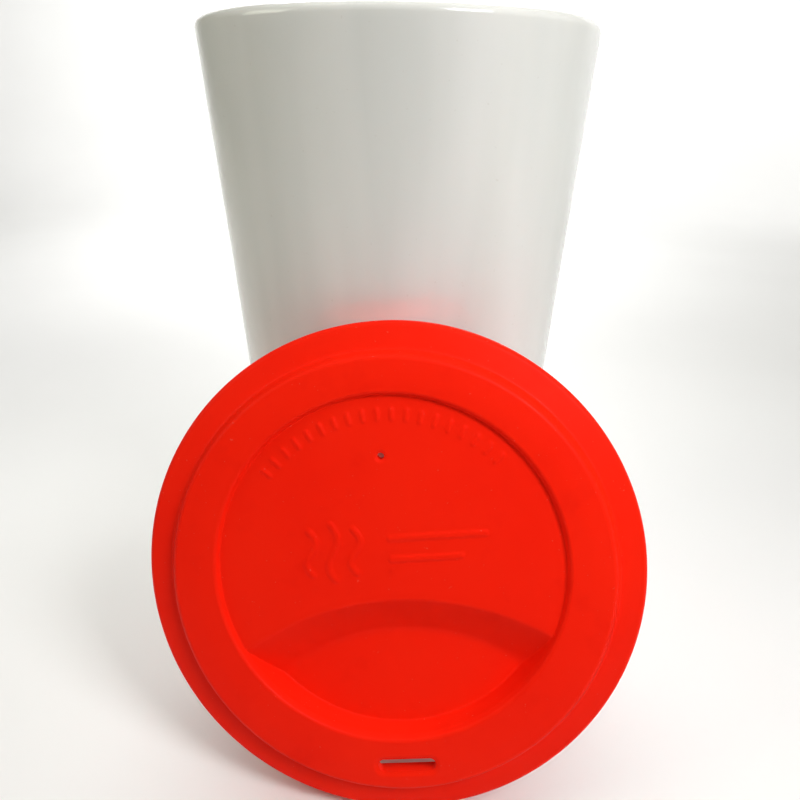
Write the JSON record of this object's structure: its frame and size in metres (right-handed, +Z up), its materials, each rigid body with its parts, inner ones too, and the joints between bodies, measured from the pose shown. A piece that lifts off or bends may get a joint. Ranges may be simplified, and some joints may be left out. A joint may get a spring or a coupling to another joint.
{
  "type": "ceramic travel tumbler with silicone sip lid",
  "caption": "Flared glazed ceramic tumbler with a rounded lip, and a round silicone sip lid with a raised ring and a sunk well, leaning face out against it.",
  "frame": {"origin": "on the tumbler's axis, in the plane of the foot ring that stands on the table", "axes": "+Z up along the tumbler's axis, -Y towards the front, where the lid leans, +X to the right as seen from the front"},
  "size_m": [0.1001, 0.1215, 0.153],
  "materials": {
    "white_glaze": "clear gloss glaze over a white body",
    "red_silicone": "satin moulded silicone"
  },
  "bodies": {
    "tumbler": {"ceramic_tumbler": "white_glaze"},
    "lid": {"sip_lid": "red_silicone"}
  },
  "joints": [
    {"name": "lid_lift", "type": "slide", "parent": "tumbler", "child": "lid", "axis": [0, -0.4226, 0.9063], "range_m": [0, 0.18]}
  ]
}
